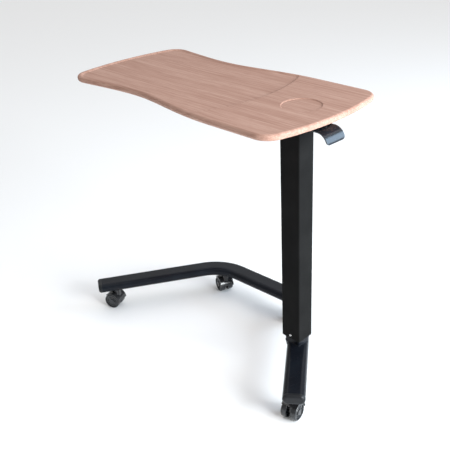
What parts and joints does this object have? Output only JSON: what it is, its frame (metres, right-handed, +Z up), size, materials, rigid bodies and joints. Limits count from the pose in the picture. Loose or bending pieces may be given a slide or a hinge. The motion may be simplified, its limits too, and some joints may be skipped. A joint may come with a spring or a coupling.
{
  "type": "overbed table",
  "caption": "Overbed table with a waisted wood top, off-centre telescopic column, release lever and C-shaped tube base on swivel casters.",
  "frame": {"origin": "on the floor, under the middle of the whole table's box", "axes": "+Z up; +X towards the column's end of the top; -Y towards the open side of the base"},
  "size_m": [0.8704, 0.4142, 0.781],
  "materials": {
    "woodgrain_top": "satin foil-wrapped board with fine straight grain",
    "column_paint": "fine-textured matt black powder coat",
    "base_paint": "satin black powder coat",
    "lever_paint": "gloss black paint",
    "black_plastic": "smooth moulded black plastic",
    "caster_plastic": "glossy moulded nylon",
    "wheel_plastic": "glossy moulded nylon wheel",
    "glide_nylon": "black moulded nylon",
    "zinc_steel": "bright zinc plate",
    "bright_screw": "bright nickel plate",
    "rod_chrome": "ground hard chrome",
    "cylinder_paint": "black enamel"
  },
  "bodies": {
    "base": {"base_tube": "base_paint", "left_end_cap": "black_plastic", "right_end_cap": "black_plastic", "inner_post": "base_paint", "post_foot": "zinc_steel", "upper_glide": "glide_nylon", "gas_cylinder": "cylinder_paint", "left_front_socket": "zinc_steel", "left_front_stem": "zinc_steel", "left_rear_socket": "zinc_steel", "left_rear_stem": "zinc_steel", "right_rear_socket": "zinc_steel", "right_rear_stem": "zinc_steel", "right_front_socket": "zinc_steel", "right_front_stem": "zinc_steel"},
    "table": {"tabletop": "woodgrain_top", "support_pan": "column_paint", "pan_screws": "zinc_steel", "outer_column": "column_paint", "lower_glide": "glide_nylon", "glide_screws": "bright_screw", "gas_rod": "rod_chrome", "gas_piston": "zinc_steel", "rod_nut": "zinc_steel", "lever_bracket": "zinc_steel", "lever_pin": "zinc_steel"},
    "lever": {"release_lever": "lever_paint"},
    "release_pin": {"release_pin": "zinc_steel"},
    "left_front_caster": {"left_front_hood": "caster_plastic", "left_front_axle": "zinc_steel"},
    "left_front_wheel_a": {"left_front_wheel_a": "wheel_plastic"},
    "left_front_wheel_b": {"left_front_wheel_b": "wheel_plastic"},
    "left_rear_caster": {"left_rear_hood": "caster_plastic", "left_rear_axle": "zinc_steel"},
    "left_rear_wheel_a": {"left_rear_wheel_a": "wheel_plastic"},
    "left_rear_wheel_b": {"left_rear_wheel_b": "wheel_plastic"},
    "right_rear_caster": {"right_rear_hood": "caster_plastic", "right_rear_axle": "zinc_steel"},
    "right_rear_wheel_a": {"right_rear_wheel_a": "wheel_plastic"},
    "right_rear_wheel_b": {"right_rear_wheel_b": "wheel_plastic"},
    "right_front_caster": {"right_front_hood": "caster_plastic", "right_front_axle": "zinc_steel"},
    "right_front_wheel_a": {"right_front_wheel_a": "wheel_plastic"},
    "right_front_wheel_b": {"right_front_wheel_b": "wheel_plastic"}
  },
  "joints": [
    {"name": "height", "type": "slide", "parent": "base", "child": "table", "axis": [0, 0, 1], "range_m": [0, 0.3]},
    {"name": "lever_squeeze", "type": "hinge", "parent": "table", "child": "lever", "pos_m": [0.28593, 0.00708, 0.745], "axis": [0, -1, 0], "range_deg": [0, 7], "stiffness_Nm_per_rad": 1, "springref_deg": -5.73},
    {"name": "pin_press", "type": "slide", "parent": "table", "child": "release_pin", "axis": [0, 0, -1], "range_m": [0, 0.0025]},
    {"name": "left_front_swivel", "type": "hinge", "parent": "base", "child": "left_front_caster", "pos_m": [-0.38308, -0.14576, 0], "axis": [0, 0, 1], "continuous": true},
    {"name": "left_front_roll_a", "type": "hinge", "parent": "left_front_caster", "child": "left_front_wheel_a", "pos_m": [-0.39412, -0.15045, 0.025], "axis": [0.3907, -0.9205, 0], "continuous": true},
    {"name": "left_front_roll_b", "type": "hinge", "parent": "left_front_caster", "child": "left_front_wheel_b", "pos_m": [-0.39412, -0.15045, 0.025], "axis": [0.3907, -0.9205, 0], "continuous": true},
    {"name": "left_rear_swivel", "type": "hinge", "parent": "base", "child": "left_rear_caster", "pos_m": [-0.18059, 0.15225, 0], "axis": [0, 0, 1], "continuous": true},
    {"name": "left_rear_roll_a", "type": "hinge", "parent": "left_rear_caster", "child": "left_rear_wheel_a", "pos_m": [-0.19187, 0.15635, 0.025], "axis": [-0.342, -0.9397, 0], "continuous": true},
    {"name": "left_rear_roll_b", "type": "hinge", "parent": "left_rear_caster", "child": "left_rear_wheel_b", "pos_m": [-0.19187, 0.15635, 0.025], "axis": [-0.342, -0.9397, 0], "continuous": true},
    {"name": "right_rear_swivel", "type": "hinge", "parent": "base", "child": "right_rear_caster", "pos_m": [0.1181, 0.16805, 0], "axis": [0, 0, 1], "continuous": true},
    {"name": "right_rear_roll_a", "type": "hinge", "parent": "right_rear_caster", "child": "right_rear_wheel_a", "pos_m": [0.10771, 0.17405, 0.025], "axis": [-0.5, -0.866, 0], "continuous": true},
    {"name": "right_rear_roll_b", "type": "hinge", "parent": "right_rear_caster", "child": "right_rear_wheel_b", "pos_m": [0.10771, 0.17405, 0.025], "axis": [-0.5, -0.866, 0], "continuous": true},
    {"name": "right_front_swivel", "type": "hinge", "parent": "base", "child": "right_front_caster", "pos_m": [0.38638, -0.14053, 0], "axis": [0, 0, 1], "continuous": true},
    {"name": "right_front_roll_a", "type": "hinge", "parent": "right_front_caster", "child": "right_front_wheel_a", "pos_m": [0.38867, -0.15231, 0.025], "axis": [0.9816, 0.1908, 0], "continuous": true},
    {"name": "right_front_roll_b", "type": "hinge", "parent": "right_front_caster", "child": "right_front_wheel_b", "pos_m": [0.38867, -0.15231, 0.025], "axis": [0.9816, 0.1908, 0], "continuous": true}
  ],
  "couplings": [
    {"joint": "pin_press", "follows": "lever_squeeze", "m_per_rad": 0.020442}
  ]
}
